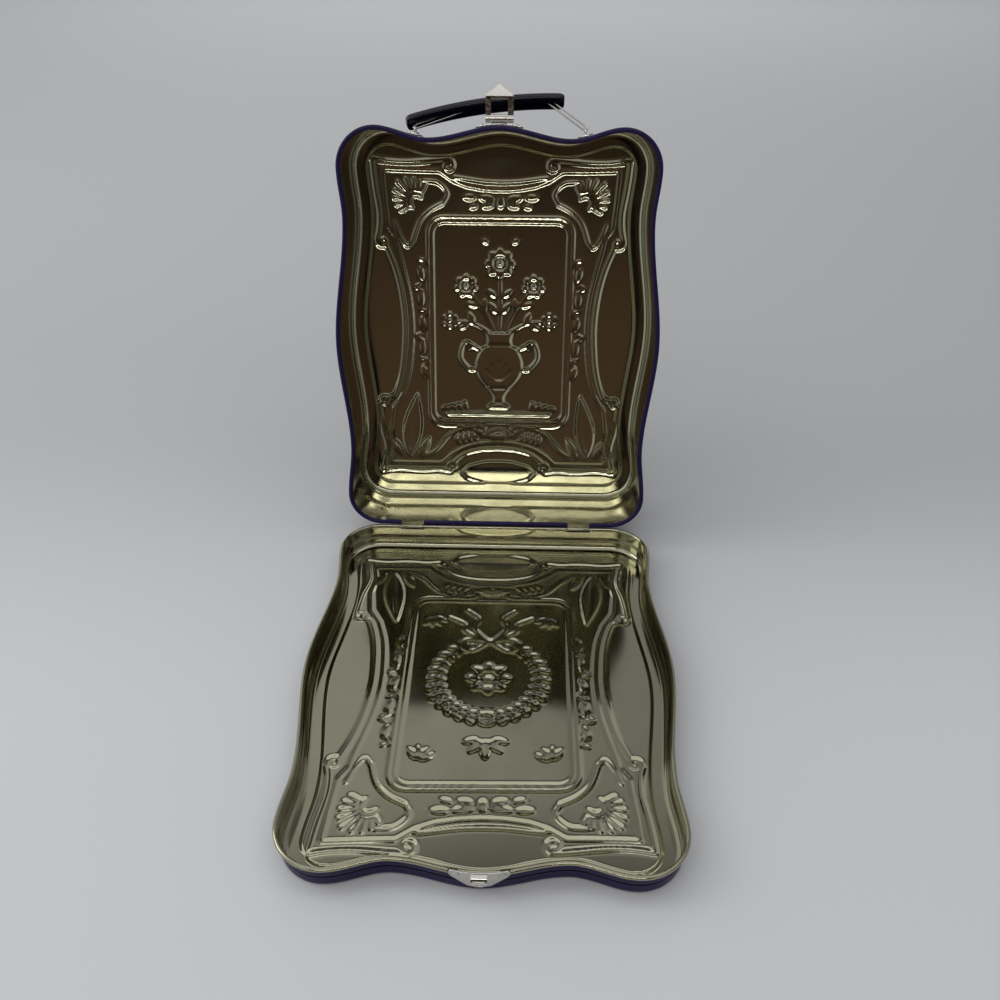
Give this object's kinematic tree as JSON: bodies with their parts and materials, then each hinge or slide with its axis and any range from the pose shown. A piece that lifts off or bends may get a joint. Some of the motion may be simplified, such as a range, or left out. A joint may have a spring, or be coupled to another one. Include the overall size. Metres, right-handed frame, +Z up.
{
  "type": "tin lunch box",
  "caption": "Hinged tinplate lunch box standing open: shallow lid, deep embossed shell, snap latch and wire-hung carrying handle.",
  "frame": {"origin": "on the floor under the centre of the box as it lies open", "axes": "+Y from the lid's latch edge to the standing deep shell, +X along the hinge, +Z up"},
  "size_m": [0.1876, 0.3472, 0.2481],
  "materials": {
    "printed_band": "glossy printed tinplate",
    "lacquered_panel": "printed outside, clear gold lacquer inside",
    "plated_steel": "bright nickel plate",
    "moulded_plastic": "glossy moulded plastic"
  },
  "bodies": {
    "lid": {"lid_panel": "lacquered_panel", "lid_band": "printed_band", "keeper_plate": "plated_steel", "hinge_wire": "plated_steel"},
    "shell": {"deep_band": "printed_band", "deep_panel": "lacquered_panel", "latch_base": "plated_steel", "latch_pin": "plated_steel", "latch_rivet_left": "plated_steel", "latch_rivet_right": "plated_steel", "handle_eye_left": "plated_steel", "handle_eye_right": "plated_steel", "eye_rivet_left_front": "plated_steel", "eye_rivet_left_back": "plated_steel", "eye_rivet_right_front": "plated_steel", "eye_rivet_right_back": "plated_steel"},
    "hasp": {"hasp_plate": "plated_steel"},
    "handle_links": {"wire_link_left": "plated_steel", "wire_link_right": "plated_steel", "link_pin_left": "plated_steel", "link_pin_right": "plated_steel"},
    "grip": {"grip": "moulded_plastic"}
  },
  "joints": [
    {"name": "shell_hinge", "type": "hinge", "parent": "lid", "child": "shell", "pos_m": [0, 0.05667, 0.0139], "axis": [1, 0, 0], "range_deg": [0, 107]},
    {"name": "hasp_hinge", "type": "hinge", "parent": "shell", "child": "hasp", "pos_m": [0, 0.12769, 0.23191], "axis": [1, 0, 0], "range_deg": [-75, 90]},
    {"name": "handle_swing", "type": "hinge", "parent": "shell", "child": "handle_links", "pos_m": [0, 0.14518, 0.22071], "axis": [1, 0, 0], "range_deg": [0, 70]},
    {"name": "grip_shift", "type": "hinge", "parent": "handle_links", "child": "grip", "pos_m": [0.03074, -0.01546, 0.11646], "axis": [0, 0.5444, -0.8388], "range_deg": [0, 4.9]}
  ]
}
